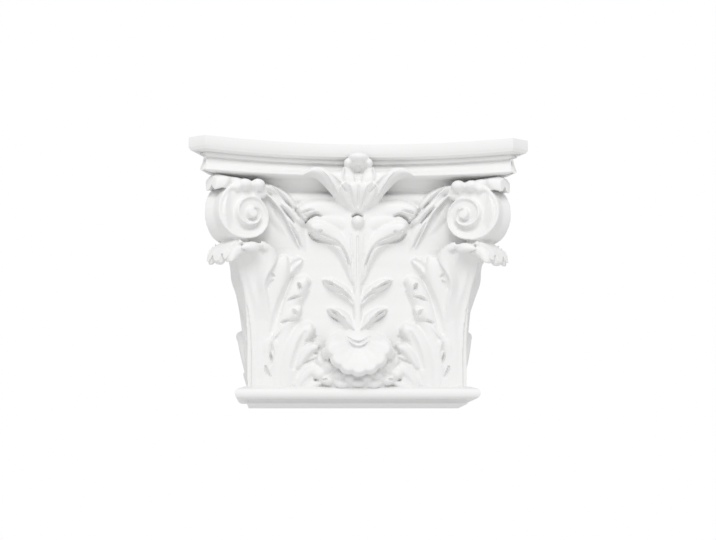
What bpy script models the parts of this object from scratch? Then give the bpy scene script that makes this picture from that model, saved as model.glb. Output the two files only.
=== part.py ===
import math
import bpy
import bmesh
from mathutils import Vector

# Sizes in millimetres: the photograph's proportions set against a 225 mm pilaster shaft
HEIGHT = 265.0
DEPTH = 135.0
SHAFT_WIDTH = 225.0
SHAFT_DEPTH = 76.0
NECK_TALL = 4.5
ASTRAGAL_RADIUS = 5.6
ASTRAGAL_OUT = 12.0
HORN_SPAN = 344.0
HORN_CUT = 17.0
HORN_SETBACK = 11.0
FRONT_HOLLOW = 34.0
SLAB_TALL = 11.0
ABACUS_TALL = 34.0
ABACUS_STEP = 10.0
LIP_FLAT = 10.0
BELL_SETBACK = 5.0
LIP_DROP = 19.0
LIP_RADIUS = 6.0
VOLUTE_THICK = 25.5
VOLUTE_TURN = math.radians(32)

# Fineness of the facets
VOXEL = 0.0025
CARVING_SHARE = 0.057

# Where the bell stands; the carving is drawn in shares of its width and height
BELL_FOOT = DEPTH - SHAFT_DEPTH + BELL_SETBACK
LIP_Z = HEIGHT - ABACUS_TALL - LIP_DROP
WIDE = SHAFT_WIDTH / 225.0
TALL = LIP_Z / 212.0
BACK = BELL_FOOT - 64.0
DIAGONAL = BELL_FOOT + 104.5 * WIDE


def clear_scene():
    for thing in list(bpy.data.objects):
        bpy.data.objects.remove(thing, do_unlink=True)


# Copies of a left-hand form: as drawn, right-hand, and both again round the corner on the side faces
def plain(p):
    return p


def across(p):
    return Vector((-p.x, p.y, p.z))


def round_left(p):
    return Vector((p.y - DIAGONAL, p.x + DIAGONAL, p.z))


def round_right(p):
    return across(round_left(p))


CENTRE = (plain,)
PAIR = (plain, across)
SIDES = (round_left, round_right)
CORNERS = PAIR + SIDES


def through(*knots):
    """A smooth curve through evenly spaced knots, read from 0 to 1."""
    points = [Vector(k) for k in knots]
    points = [points[0] * 2 - points[1]] + points + [points[-1] * 2 - points[-2]]
    spans = len(knots) - 1

    def at(t):
        step = min(max(t, 0.0), 1.0) * spans
        k = min(int(step), spans - 1)
        f = step - k
        a, b, c, d = points[k:k + 4]
        return (b * 2 + (c - a) * f + (a * 2 - b * 5 + c * 4 - d) * f ** 2
                + (b * 3 - a - c * 3 + d) * f ** 3) / 2
    return at


def ease(low, high, value):
    t = min(max((value - low) / (high - low), 0.0), 1.0)
    return t * t * (3 - 2 * t)


def set_down(v, p, copy):
    """Moves a vertex to a drawn place, by way of one of the copies."""
    p = copy(Vector((p.x * WIDE, p.y + BACK, p.z * TALL)))
    v.co = Vector((p.x, p.y - DEPTH / 2, p.z)) * 0.001


def sheet(shape, nu, nv, front, back, copies):
    """A closed skin between two surfaces, read across from -1 to 1 and along from 0 to 1."""
    for copy in copies:
        made = bmesh.ops.create_grid(shape, x_segments=nu, y_segments=nv, size=1.0)['verts']
        grown = bmesh.ops.extrude_face_region(shape, geom=list({f for v in made for f in v.link_faces}))['geom']
        for verts, surface in ((made, front), ([g for g in grown if isinstance(g, bmesh.types.BMVert)], back)):
            for v in verts:
                set_down(v, surface(v.co.x, (v.co.y + 1) / 2), copy)


def bell_face(z):
    return 64 - 2 * ease(0, 110, z) - 9 * ease(90, 205, z)


def stroke(shape, *knots, copies=CORNERS, cup=0.0, lean=0.0, host=bell_face, n=(6, 10)):
    """A raised band on the bell: knots give x, z, half width and height; cup hollows it, lean moves the hollow."""
    path = through(*knots)

    def place(s, t, top):
        x, z, half, rise = path(t)
        ahead, behind = path(min(t + 0.02, 1.0)), path(max(t - 0.02, 0.0))
        along = Vector((ahead.x - behind.x, ahead.y - behind.y)).normalized()
        half *= max(0.05, 1 - abs(2 * t - 1) ** 12)
        x, z = x + along.y * s * half, z - along.x * s * half
        if top:
            crown = (1 - abs(s) ** 4) * (1 - cup * math.exp(-((s - lean) / 0.5) ** 2))
            return Vector((x, host(z) - rise * max(crown, 0.12), z))
        return Vector((x, host(z) + 5, z))
    sheet(shape, n[0], n[1], lambda s, t: place(s, t, True), lambda s, t: place(s, t, False), copies)


def knob(shape, x, y, z, rx, ry, rz, copies=PAIR):
    """A rounded boss."""
    for copy in copies:
        for v in bmesh.ops.create_icosphere(shape, subdivisions=2, radius=1.0)['verts']:
            set_down(v, Vector((x + v.co.x * rx, y + v.co.y * ry, z + v.co.z * rz)), copy)


def finish(shape, name):
    """The closed shape as an object of its own."""
    bmesh.ops.recalc_face_normals(shape, faces=shape.faces[:])
    if shape.calc_volume(signed=True) < 0:
        bmesh.ops.reverse_faces(shape, faces=shape.faces[:])
    mesh = bpy.data.meshes.new(name)
    shape.to_mesh(mesh)
    shape.free()
    made = bpy.data.objects.new(name, mesh)
    bpy.context.scene.collection.objects.link(made)
    return made


# Bell: the tapering core with its rounded lip, and the cove up to the abacus
def bell(shape):
    def block(face, n):
        def back(s, t):
            p = face(s, t)
            return Vector((p.x, DEPTH + 12 - BACK, p.z))
        sheet(shape, n[0], n[1], face, back, CENTRE)

    def body(s, t):
        z = 2 + t * 210
        return Vector((s * (168.5 - bell_face(z)), bell_face(z), z))

    def lip(s, t):
        y = 49 + LIP_RADIUS * (1 - math.sin(math.pi * t))
        return Vector((s * (168.5 - y), y, 212 - LIP_RADIUS / TALL * math.cos(math.pi * t)))

    def drum(s, t):
        return Vector((s * 108, 60, 206 + t * (HEIGHT - LIP_Z) / TALL * 0.6))

    def cove(s, t):
        turn = math.pi / 2 * t
        rise = (LIP_DROP + 2) / TALL
        return Vector((s * 100, 41 + 17 * math.sin(turn), 212 + rise * math.cos(turn)))
    block(body, (12, 24))
    block(lip, (12, 8))
    block(drum, (2, 2))
    block(cove, (2, 8))


# Volute: two coiled faces that meet at the corner, each a rimmed band wound in two turns to its eye
COIL = through(*((r, 0) for r in (31, 39, 27, 18, 17.5, 18.5, 11.5, 8, 7, 6.5, 4.5, 3.5, 3)))
COIL_STEPS = 5
COIL_PARTS = (0.0, 0.16, 0.42, 0.88, 1.0)


def coil(name, copies):
    out = Vector((-math.cos(VOLUTE_TURN), -math.sin(VOLUTE_TURN), 0))
    face = Vector((math.sin(VOLUTE_TURN), -math.cos(VOLUTE_TURN), 0))
    eye = Vector((-108, 33, 191.5))
    turn_steps = 4 * COIL_STEPS
    shape = bmesh.new()
    for copy in copies:
        made = bmesh.ops.create_grid(shape, x_segments=2 * turn_steps, y_segments=len(COIL_PARTS) - 1, size=1.0)['verts']
        for v in made:
            part = COIL_PARTS[round((v.co.y + 1) / 2 * (len(COIL_PARTS) - 1))]
            quarter = round((v.co.x + 1) * turn_steps) / COIL_STEPS
            outer, inner = COIL(quarter / 12).x, COIL((quarter + 4) / 12).x
            radius = outer + (inner - outer) * part
            low = 0.55 - 0.45 * math.cos(quarter * math.pi / 2)
            crest = {0.0: outer, 0.16: outer, 1.0: inner}.get(part, radius)
            rise = 6.5 * (1 - crest / 39) - (3.2 if 0.3 < part < 1 else 0) - (5 * low if 0.5 < part < 1 else 0)
            v.co = Vector((radius * math.sin(quarter * math.pi / 2), radius * math.cos(quarter * math.pi / 2), rise))
        bmesh.ops.remove_doubles(shape, verts=made, dist=0.01)
        made = [v for v in made if v.is_valid]
        faces = {f for v in made for f in v.link_faces}
        hole = {e for f in faces for e in f.edges if e.is_boundary and max(v.co.xy.length for v in e.verts) < 12}
        faces |= set(bmesh.ops.holes_fill(shape, edges=list(hole))['faces'])
        grown = bmesh.ops.extrude_face_region(shape, geom=list(faces))['geom']
        under = {g for g in grown if isinstance(g, bmesh.types.BMVert)}
        for v in made + list(under):
            rise = -VOLUTE_THICK if v in under else v.co.z
            set_down(v, eye + out * v.co.x + face * rise + Vector((0, 0, v.co.y)), copy)
    return finish(shape, name)


# Corner leaf: it climbs the corner, bends out under the volute and curls over in five lobes
def leaf_place(u, v, rise):
    spine = through((0, 14), (1, 48), (2.5, 82), (8, 112), (16, 132), (26, 149), (36, 159), (44, 156), (47, 145))
    r, z = spine(v)
    ahead, behind = spine(min(v + 0.02, 1)), spine(max(v - 0.02, 0))
    along = Vector((ahead.x - behind.x, ahead.y - behind.y)).normalized()
    bent = ease(0.5, 0.85, v)
    fold = math.radians(45 * (1 - bent) + (20 + 34 * min(u / 50, 1)) * bent)
    out = Vector((-1, -1, 0)) / math.sqrt(2)
    wide = Vector((1, -1, 0)) / math.sqrt(2)
    reach = math.sqrt(u * u + 9) - 3
    p = Vector((-107.6, 60.9, z)) + out * r + wide * (u * math.cos(fold)) - out * (reach * math.sin(fold))
    level = (out * along.y - Vector((0, 0, along.x))) * math.cos(fold) + wide * math.sin(fold)
    return p + level.normalized() * rise


def corner_leaf(shape):
    def place(s, t, top):
        w = (s + 1) / 2
        spread = ease(0.45, 0.82, t)
        u = w * (15 + 38 * spread)
        lobe = abs(math.cos(math.pi * 3.5 * w)) ** 0.6
        end = 1 - 0.24 * ease(0.2, 0.5, w) - 0.06 * ease(0.6, 1.0, w)
        v = t * end * (1 - 0.12 * (1 - lobe) * ease(0.75, 1.0, t))
        if not top:
            return leaf_place(u, v, -6)
        scoop = 7 * math.sin(math.pi * min(w * 1.05, 1)) * ease(0.45, 0.8, t)
        rib = 2.5 * math.exp(-(u / 3.2) ** 2) + 2.5 * lobe * ease(0.75, 0.95, t)
        return leaf_place(u, v, 2.5 - scoop + rib - 3 * ease(0.93, 1.0, t))
    sheet(shape, 24, 30, lambda s, t: place(s, t, True), lambda s, t: place(s, t, False), CORNERS)
    # Two fingers beside the rib, hollowed along their length, their tips turned out
    stroke(shape, (-97, 14, 15, 5), (-89, 60, 17, 5), (-83, 100, 14, 5), (-86, 128, 8, 5))
    stroke(shape, (-104.3, 16, 5, 7), (-98.4, 44.4, 7, 8), (-91.5, 69.7, 8, 9), (-82.4, 94, 9, 11), (-72.4, 112, 9, 14),
           (-61, 125, 8, 16), (-51, 128, 6.5, 17), (-46, 124.4, 3, 14), cup=0.4, lean=-0.2, n=(8, 18))
    stroke(shape, (-91, 16, 5, 6), (-82, 34.3, 7, 8), (-73, 51.4, 8.5, 9), (-63, 65.4, 9.5, 12), (-53, 76.3, 9, 15),
           (-43.8, 81.2, 6.5, 17), (-38.7, 78.5, 3, 14), cup=0.4, lean=-0.2, n=(8, 16))
    # Lobes under each finger, and leaflets in the gaps beside them
    for lobe in (((-80.4, 87.3, 4, 8), (-72.3, 98, 5, 12), (-63, 102, 4.5, 14), (-57, 99, 3, 13)),
                 ((-80.3, 75, 4, 7), (-71, 83, 5, 10), (-62, 86.8, 4, 12), (-58, 91, 2.5, 12)),
                 ((-88.6, 100.7, 3, 7), (-87.7, 112.7, 5, 9), (-84.6, 122.8, 5, 10), (-80.6, 127, 3, 10)),
                 ((-94.3, 30.4, 3, 5), (-94.3, 44.4, 3.5, 8), (-92.4, 54.5, 4, 9), (-87.3, 61.6, 3, 9)),
                 ((-86.3, 55.7, 3, 7), (-81.3, 68.6, 4, 10), (-75, 76.7, 4, 11), (-70, 78.8, 2.5, 11)),
                 ((-65, 40.5, 4, 7), (-56.8, 53.3, 5.5, 11), (-47.8, 60, 5.5, 14), (-40.7, 60, 3.5, 13)),
                 ((-68.8, 18, 5, 6), (-59.8, 30, 6, 10), (-50.7, 37, 6, 13), (-41.6, 38, 5, 13), (-36.5, 34, 3, 11))):
        stroke(shape, *lobe, cup=0.1, n=(5, 8))


# Centre leaf: its nodding tip, scalloped along the edge, over the low lobes at the foot
def centre_leaf(shape):
    edge = through((-84, 38), (-70, 44), (-58, 36), (-46, 44), (-34, 37), (-22, 43), (-10, 38), (0, 45),
                   (10, 38), (22, 43), (34, 37), (46, 44), (58, 36), (70, 44), (84, 38))

    def place(s, t, top):
        angle, reach = edge((s + 1) / 2)
        angle, share = math.radians(angle), t * (1.0 if top else 0.88)
        lobe = (reach - 36) / 9
        y = 58 - 26 * math.sin(math.pi / 2 * t ** 0.8) - 4 * lobe * ease(0.55, 0.95, t) + 6 * ease(0.92, 1, t)
        y = y if top else min(y + 10, 62) + 12 * (1 - t)
        return Vector((share * reach * math.sin(angle), y, 71 - share * reach * math.cos(angle)))
    sheet(shape, 42, 12, lambda s, t: place(s, t, True), lambda s, t: place(s, t, False), CENTRE)
    stroke(shape, (0, 12, 26, 6), (0, 40, 26, 6), (0, 62, 14, 6), copies=CENTRE)
    for x, z, half in ((-12, 20, 5), (-24, 22, 5), (0, 21, 6)):
        knob(shape, x, 54, z, half, 11, half * 0.8, PAIR if x else CENTRE)


# Stem with two pairs of small leaves, and the nodding bud and lobe on each side of it
def stem(shape):
    stroke(shape, (0, 62, 6, 7), (0, 90, 4.5, 7), (0, 126, 5, 8), (0, 150, 6, 9), (0, 178, 7, 10), copies=CENTRE, cup=0.2)
    knob(shape, 0, 44, 187, 9, 9, 7, CENTRE)
    stroke(shape, (-1.5, 101.3, 2, 5), (-6.7, 109.4, 3, 6), (-13, 115.7, 4.5, 8), (-21.3, 121, 5, 10), (-29.5, 124.6, 4, 10),
           (-35.6, 128, 1.5, 8), copies=PAIR)
    stroke(shape, (-1.6, 73.5, 2, 5), (-5.7, 79.5, 3, 6), (-11, 86, 4.5, 8), (-17, 91.3, 5, 10), (-24.8, 95, 4, 10),
           (-30.4, 98.2, 1.5, 8), copies=PAIR)
    stroke(shape, (-1.5, 104.4, 2.5, 5), (-3.6, 124.7, 4, 6), (-8, 145, 6, 8), (-16.2, 161, 8, 9), (-26.6, 174, 9.5, 11),
           (-38, 179.4, 9.5, 14), (-47.2, 180.7, 7.5, 15), (-50.7, 179.7, 3.5, 12), copies=PAIR, n=(8, 16))
    stroke(shape, (-11.8, 201.6, 4, 2), (-28.5, 203.8, 9, 6), (-44, 204.6, 10, 9), (-55.4, 201.7, 8.5, 10), (-62, 199.2, 4, 7),
           copies=PAIR)


# Stalk: two ridges rising to the volute, with husk leaves and bosses, and a leaf laid under the horn
def stalk(shape):
    stroke(shape, (-53, 157.4, 3, 5), (-64.4, 177.6, 4, 6), (-73.8, 192.6, 5, 8), (-85, 206.5, 6, 12), (-97, 213, 6, 18))
    stroke(shape, (-58.3, 175.8, 2.5, 5), (-64.5, 188.6, 5, 9), (-70.7, 198.3, 5, 12), (-76, 204.7, 3, 11))
    stroke(shape, (-63.5, 200.8, 3, 9), (-72.8, 208.5, 5, 13), (-84, 215, 6, 17), (-96, 218, 5, 20))
    knob(shape, -99, 31, 218, 7, 7, 6, CORNERS)
    knob(shape, -116, 24, 217, 9, 8, 6, CORNERS)

    def horn_leaf(s, t, top):
        r, u = 20 + 42 * t, (s + 1) * (13 - 8 * t)
        z = 214 + 11 * math.sin(math.pi * (0.15 + 0.75 * t)) - 0.02 * u * u
        p = Vector((-107.6, 60.9, z)) + (Vector((-1, -1, 0)) * r + Vector((1, -1, 0)) * u) / math.sqrt(2)
        return p + Vector((0, 0, 3 if top else -6))
    sheet(shape, 8, 10, lambda s, t: horn_leaf(s, t, True), lambda s, t: horn_leaf(s, t, False), CORNERS)


# Fleuron: knob and cup over a calyx, with a long leaf out to each side
def fleuron(shape):
    def host(z):
        return 50 - 14 * ease(190, 232, z)
    knob(shape, 0, 32, 251, 9, 9, 7, CENTRE)
    knob(shape, -11.5, 34, 246, 4, 6, 4)
    stroke(shape, (0, 192, 8, 4), (0, 206, 13, 9), (0, 220, 15, 10), (0, 234, 15, 8), (0, 246, 13, 6), copies=CENTRE,
           cup=0.3, host=host)
    stroke(shape, (-3, 204, 4, 6), (-9, 216, 7, 10), (-16, 226, 7, 14), (-20, 228, 4, 12), copies=PAIR, host=host)
    stroke(shape, (-8, 198, 3, 3), (-17, 208, 5, 5), (-25, 219, 7, 7), (-34, 229, 7.5, 8), (-45, 234, 6, 9), (-57, 230, 1.5, 8),
           copies=PAIR, cup=0.3, host=host, n=(8, 14))


# Abacus and base mouldings: crisp profiles swept round the plan
def swept(name, plan, profile):
    """A solid with a moulded edge: the profile gives how far in, how much of that is lost mid-front, and how high."""
    shape = bmesh.new()
    last, steps = len(plan) - 1, len(profile) - 1

    def inward(k, amount, flat):
        here = Vector(plan[k])
        sides = [(Vector(b) - Vector(a)).normalized() for a, b in zip(plan[max(k - 1, 0):k + 1], plan[max(k, 1):k + 2])]
        normals = [Vector((-side.y, side.x)) for side in sides]
        mean = sum(normals, Vector((0, 0))).normalized()
        middle = max(0.0, 1 - (2 * here.x / HORN_SPAN) ** 2) if here.y <= FRONT_HOLLOW else 0.0
        return here + mean * ((amount - flat * middle) / mean.dot(normals[0]))

    verts = bmesh.ops.create_grid(shape, x_segments=last, y_segments=steps, size=1.0)['verts']
    grown = bmesh.ops.extrude_face_region(shape, geom=shape.faces[:])['geom']
    under = [g for g in grown if isinstance(g, bmesh.types.BMVert)]
    for group, outer in ((verts, True), (under, False)):
        for v in group:
            amount, flat, z = profile[round((v.co.y + 1) / 2 * steps)]
            p = inward(round((v.co.x + 1) / 2 * last), amount, flat) if outer else Vector((v.co.x * 90, DEPTH + 12))
            v.co = Vector((p.x, p.y - DEPTH / 2, z)) * 0.001
    return finish(shape, name)


def abacus():
    ridge = HORN_SPAN / 2 - HORN_CUT
    front = [(ridge * (k / 10 - 1), FRONT_HOLLOW * (1 - (1 - k / 10) ** 2)) for k in range(21)]
    side = []
    for k in range(9):
        y = HORN_SETBACK + (DEPTH + 12 - HORN_SETBACK) * k / 8
        side.append((HORN_SPAN / 2 - FRONT_HOLLOW * (1 - (1 - (y - HORN_SETBACK) / ridge) ** 2), y))
    plan = [(-x, y) for x, y in reversed(side)] + front + side
    under, rest = HEIGHT - SLAB_TALL, ABACUS_TALL - SLAB_TALL
    profile = [(0, 0, HEIGHT), (0, 0, under)] + [
        (ABACUS_STEP * share, flat * LIP_FLAT, under - rest * drop) for share, flat, drop in (
            (0.15, 0, 0.1), (0.5, 0, 0.174), (1, 0, 0.174), (1, 0, 0.3), (1.25, 0, 0.41), (1.3, 0.15, 0.57),
            (1.2, 0.5, 0.74), (1.1, 1, 0.87), (1.15, 1, 0.96), (1.4, 1, 1))]
    return swept("abacus_cutter", plan, profile)


def base_moulding():
    half, front = SHAFT_WIDTH / 2, DEPTH - SHAFT_DEPTH
    plan = [(-half, DEPTH + 12), (-half, front), (half, front), (half, DEPTH + 12)]
    middle = NECK_TALL + 1.05 * ASTRAGAL_RADIUS
    flank = ASTRAGAL_RADIUS - ASTRAGAL_OUT
    profile = [(6, 0, middle + ASTRAGAL_RADIUS + 5), (3, 0, middle + ASTRAGAL_RADIUS + 2.5), (flank / 2, 0, middle + ASTRAGAL_RADIUS + 1.5)]
    for k in range(7):
        turn = math.pi * k / 6
        profile.append((flank - ASTRAGAL_RADIUS * math.sin(turn), 0, middle + ASTRAGAL_RADIUS * math.cos(turn)))
    profile += [(0, 0, NECK_TALL), (0, 0, 0.6), (0.6, 0, 0)]
    return swept("base_cutter", plan, profile)


def join_to(body, other, operation='UNION'):
    step = body.modifiers.new("with " + other.name, 'BOOLEAN')
    step.operation = operation
    step.solver = 'MANIFOLD'
    step.object = other
    other.hide_render = True
    other.display_type = 'WIRE'


def main():
    clear_scene()
    shape = bmesh.new()
    for carve in (bell, corner_leaf, centre_leaf, stem, stalk, fleuron):
        carve(shape)
    capital = finish(shape, "capital")
    skin = capital.modifiers.new("one skin", 'REMESH')
    skin.mode = 'VOXEL'
    skin.voxel_size = VOXEL
    soften = capital.modifiers.new("soften", 'SMOOTH')
    soften.factor = 0.5
    soften.iterations = 2
    facets = capital.modifiers.new("facets", 'DECIMATE')
    facets.ratio = CARVING_SHARE
    join_to(capital, abacus())
    join_to(capital, base_moulding())
    join_to(capital, coil("front_volutes_cutter", PAIR))
    join_to(capital, coil("side_volutes_cutter", SIDES))
    shape = bmesh.new()
    bmesh.ops.create_cube(shape, size=1.0)
    for v in shape.verts:
        v.co = Vector((v.co.x * 0.6, (v.co.y - 0.5) * 0.4 + DEPTH * 0.0005, (v.co.z + 0.5) * 0.4))
    join_to(capital, finish(shape, "room_cutter"), 'INTERSECT')
    material = bpy.data.materials.new("white_cast")
    material.use_nodes = True
    shader = material.node_tree.nodes["Principled BSDF"]
    shader.inputs["Base Color"].default_value = (0.9, 0.9, 0.89, 1)
    shader.inputs["Roughness"].default_value = 0.6
    capital.data.materials.append(material)


main()
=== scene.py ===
import math
import bpy
import bmesh
import numpy as np
from mathutils import Matrix, Vector


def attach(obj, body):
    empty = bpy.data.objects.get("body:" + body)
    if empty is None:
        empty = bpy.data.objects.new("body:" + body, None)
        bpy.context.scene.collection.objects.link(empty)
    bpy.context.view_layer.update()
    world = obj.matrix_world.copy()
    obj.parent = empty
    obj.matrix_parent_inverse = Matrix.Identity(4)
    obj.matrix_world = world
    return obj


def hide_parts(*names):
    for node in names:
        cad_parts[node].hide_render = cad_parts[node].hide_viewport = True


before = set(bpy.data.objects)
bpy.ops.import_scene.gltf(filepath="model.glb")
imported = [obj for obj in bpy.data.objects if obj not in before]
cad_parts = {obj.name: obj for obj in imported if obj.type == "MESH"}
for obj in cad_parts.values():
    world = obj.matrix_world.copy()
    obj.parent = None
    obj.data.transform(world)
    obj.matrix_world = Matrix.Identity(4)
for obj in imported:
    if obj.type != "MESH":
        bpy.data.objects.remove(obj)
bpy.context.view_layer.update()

# The bell is the body of the casting: a tapering block with a rounded lip, and a soft cove up to the
# abacus. It is moulded in one pour of white foam with all that stands on it, so every form joins one mesh.
# Forms are drawn in millimetres: x to the right, y from the abacus front towards the wall, z up.
HEIGHT, DEPTH, SHAFT_WIDTH, SHAFT_DEPTH = 265.0, 135.0, 225.0, 76.0
ABACUS_TALL, LIP_DROP, LIP_RADIUS, BELL_SETBACK = 34.0, 19.0, 6.0, 5.0
BELL_FOOT = DEPTH - SHAFT_DEPTH + BELL_SETBACK
LIP_Z = HEIGHT - ABACUS_TALL - LIP_DROP
DIAGONAL = BELL_FOOT + 104.5  # on the line of a corner, x to the side and y back add up to this
PAST_WALL = DEPTH + 12  # every form runs on behind the wall, where the whole is cut off flat
carving = bmesh.new()


def plain(p):
    return p


CENTRE = (plain,)


def ease(low, high, value):
    """A soft step from 0 at low to 1 at high."""
    t = min(max((value - low) / (high - low), 0.0), 1.0)
    return t * t * (3 - 2 * t)


def lay(form, copies):
    """Adds a closed form, drawn for the left front, to the carving once for each copy."""
    drawn = [v.co.copy() for v in form.verts]
    for copy in copies:
        for v, p in zip(form.verts, drawn):
            v.co = copy(p)
        bmesh.ops.recalc_face_normals(form, faces=form.faces[:])
        made = bpy.data.meshes.new("form")
        form.to_mesh(made)
        carving.from_mesh(made)
        bpy.data.meshes.remove(made)
    form.free()


def sheet(nu, nv, front, back, copies):
    """A closed skin between two surfaces, read across from -1 to 1 and along from 0 to 1."""
    form = bmesh.new()
    made = bmesh.ops.create_grid(form, x_segments=nu, y_segments=nv, size=1.0)['verts']
    grown = bmesh.ops.extrude_face_region(form, geom=form.faces[:])['geom']
    for verts, surface in ((made, front), ([g for g in grown if isinstance(g, bmesh.types.BMVert)], back)):
        for v in verts:
            v.co = surface(v.co.x, (v.co.y + 1) / 2)
    lay(form, copies)


def bell_face(z):
    """How far back the bell's front lies at a height."""
    return BELL_FOOT - 2 * ease(0, 110, z) - 9 * ease(90, 205, z)


def block(face, n):
    """A form that runs from its face straight back past the wall."""
    sheet(n[0], n[1], face, lambda s, t: Vector((face(s, t).x, PAST_WALL, face(s, t).z)), CENTRE)


def lip(s, t):
    y = 49 + LIP_RADIUS * (1 - math.sin(math.pi * t))
    return Vector((s * (DIAGONAL - y), y, LIP_Z - LIP_RADIUS * math.cos(math.pi * t)))


def cove(s, t):
    turn = math.pi / 2 * t
    return Vector((s * 100, 41 + 17 * math.sin(turn), LIP_Z + (LIP_DROP + 2) * math.cos(turn)))


def bell_body(s, t):
    z = 2 + t * (LIP_Z - 2)
    return Vector((s * (DIAGONAL - bell_face(z)), bell_face(z), z))


def drum(s, t):
    return Vector((s * 108, 60, LIP_Z - 6 + t * (HEIGHT - LIP_Z) * 0.6))


block(bell_body, (40, 60))
block(lip, (30, 16))
block(drum, (2, 2))
block(cove, (4, 20))


# The corner leaf climbs each corner on a raised rib, bends out under the volute and curls over in fluted
# lobes. Beside the rib two hollowed fingers and small lobes spread over the bell, their tips turned out
# from it. It is drawn once for the left front, and laid on all four corners as moulded copies.
def across(p):
    return Vector((-p.x, p.y, p.z))


def round_left(p):
    return Vector((p.y - DIAGONAL, p.x + DIAGONAL, p.z))


def round_right(p):
    return across(round_left(p))


PAIR, SIDES = (plain, across), (round_left, round_right)
CORNERS = PAIR + SIDES


def through(*knots):
    """A smooth curve through evenly spaced knots, read from 0 to 1."""
    points = [Vector(k) for k in knots]
    points = [points[0] * 2 - points[1]] + points + [points[-1] * 2 - points[-2]]
    spans = len(knots) - 1

    def at(t):
        step = min(max(t, 0.0), 1.0) * spans
        k = min(int(step), spans - 1)
        f = step - k
        a, b, c, d = points[k:k + 4]
        return (b * 2 + (c - a) * f + (a * 2 - b * 5 + c * 4 - d) * f ** 2
                + (b * 3 - a - c * 3 + d) * f ** 3) / 2
    return at


CORNER = Vector((-107.6, 60.9, 0))
SPINE = through((0, 14), (0.5, 48), (2, 82), (6.5, 110), (14, 131), (23, 146), (34, 153), (43, 150.5),
                (47.5, 139))
TIP_THICK = 5.0


def stroke(*knots, copies=CORNERS, cup=0.0, wide=0.5, square=4, free=0.0, edge=0.12, host=bell_face,
           n=(14, 30)):
    """A raised band on the bell: knots give x, z, half width and height. Cup is how deep it is hollowed, wide
    how broadly, and free how far before its end the tip leaves the bell. Square and edge set how steep its
    sides are."""
    path = through(*knots)

    def place(s, t, top):
        x, z, half, rise = path(t)
        ahead, behind = path(min(t + 0.02, 1.0)), path(max(t - 0.02, 0.0))
        along = Vector((ahead.x - behind.x, ahead.y - behind.y)).normalized()
        half *= max(0.05, (1 - abs(2 * t - 1) ** 9) ** 0.6)
        rise *= 1 - 0.5 * ease(0.86, 1, t) * (free > 0)
        x, z = x + along.y * s * half, z - along.x * s * half
        crown = (1 - abs(s) ** square) * (1 - cup * math.exp(-(s / wide) ** 2))
        face = host(z) - rise * max(crown, edge)
        if top:
            return Vector((x, face, z))
        loose = ease(1 - free, 1 - free * 0.6, t) if free else 0.0
        rear = host(z) + 5
        return Vector((x, rear + (min(face + TIP_THICK, rear) - rear) * loose, z))
    sheet(n[0], n[1], lambda s, t: place(s, t, True), lambda s, t: place(s, t, False), copies)


def leaf_place(u, v, rise):
    """A place on the leaf: u out from its rib, v up along it, and how far it stands off the leaf's face."""
    r, z = SPINE(v)
    ahead, behind = SPINE(min(v + 0.02, 1)), SPINE(max(v - 0.02, 0))
    along = Vector((ahead.x - behind.x, ahead.y - behind.y)).normalized()
    bent = ease(0.14, 0.46, v)
    fold = math.radians(45 * (1 - bent) + (56 * min(abs(u) / 46, 1) ** 1.5 - 5) * bent)
    out, across_leaf = Vector((-1, -1, 0)) / math.sqrt(2), Vector((1, -1, 0)) / math.sqrt(2)
    reach = math.sqrt(u * u + 9) - 3
    z += 7 * ease(12, 40, u) * ease(0.55, 0.8, v)
    p = CORNER + Vector((0, 0, z)) + out * r + across_leaf * (u * math.cos(fold))
    p -= out * (reach * math.sin(fold))
    level = (out * along.y - Vector((0, 0, along.x))) * math.cos(fold) + across_leaf * math.sin(fold)
    return p + level.normalized() * rise


def corner_leaf(s, t, top):
    w = (s + 1) / 2
    u = w * (22 + 24 * ease(0.5, 0.9, t))
    lobe = abs(math.cos(math.pi * 3.5 * w)) ** 0.6
    end = 1 - 0.23 * ease(0.3, 0.56, w)
    v = t * end * (1 - 0.1 * (1 - lobe) * ease(0.8, 1.0, t))
    if not top:
        return leaf_place(u, v, -5 - 16 * (1 - ease(0.62, 0.86, t)))
    scoop = 7 * math.sin(math.pi * min(w * 1.05, 1)) * ease(0.38, 0.72, t)
    swell = abs(math.cos(math.pi * 3.5 * w)) ** 0.8
    droop = 1 - ease(0.35, 0.6, w)
    rib = 3 * math.exp(-(u / 3.2) ** 2) * (1 - ease(0.5, 0.7, t)) + 2.5 * swell * ease(0.66, 0.9, t)
    return leaf_place(u, v, 1.5 - scoop + rib - (4 * ease(0.93, 1.0, t) ** 2 if droop > 0.5 else 0))


sheet(84, 90, lambda s, t: corner_leaf(s, t, True), lambda s, t: corner_leaf(s, t, False), CORNERS)


FLUTE_START = 0.68


def flute(middle_u, half, high, bulge):
    """A rounded flute of the leaf's crest, from where the leaf bends to a place near its end."""
    def skin(s, t, side):
        round_off = math.sqrt(max(1 - s * s, 0)) * math.sin(math.pi * min(max(t, 0.0), 1.0)) ** 0.55
        spread = math.sin(math.pi * (0.08 + 0.84 * t)) ** 0.4
        v = FLUTE_START + (high - FLUTE_START) * t
        return leaf_place(middle_u + s * half * spread, v, side * bulge * round_off)
    sheet(20, 30, lambda s, t: skin(s, t, 1), lambda s, t: skin(s, t, -0.6), CORNERS)


for crest in ((0, 6.6, 1.03, 8), (14, 6.2, 1.0, 8), (26.5, 5.4, 0.88, 5), (37.5, 6, 0.81, 2.5)):
    flute(*crest)

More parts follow.
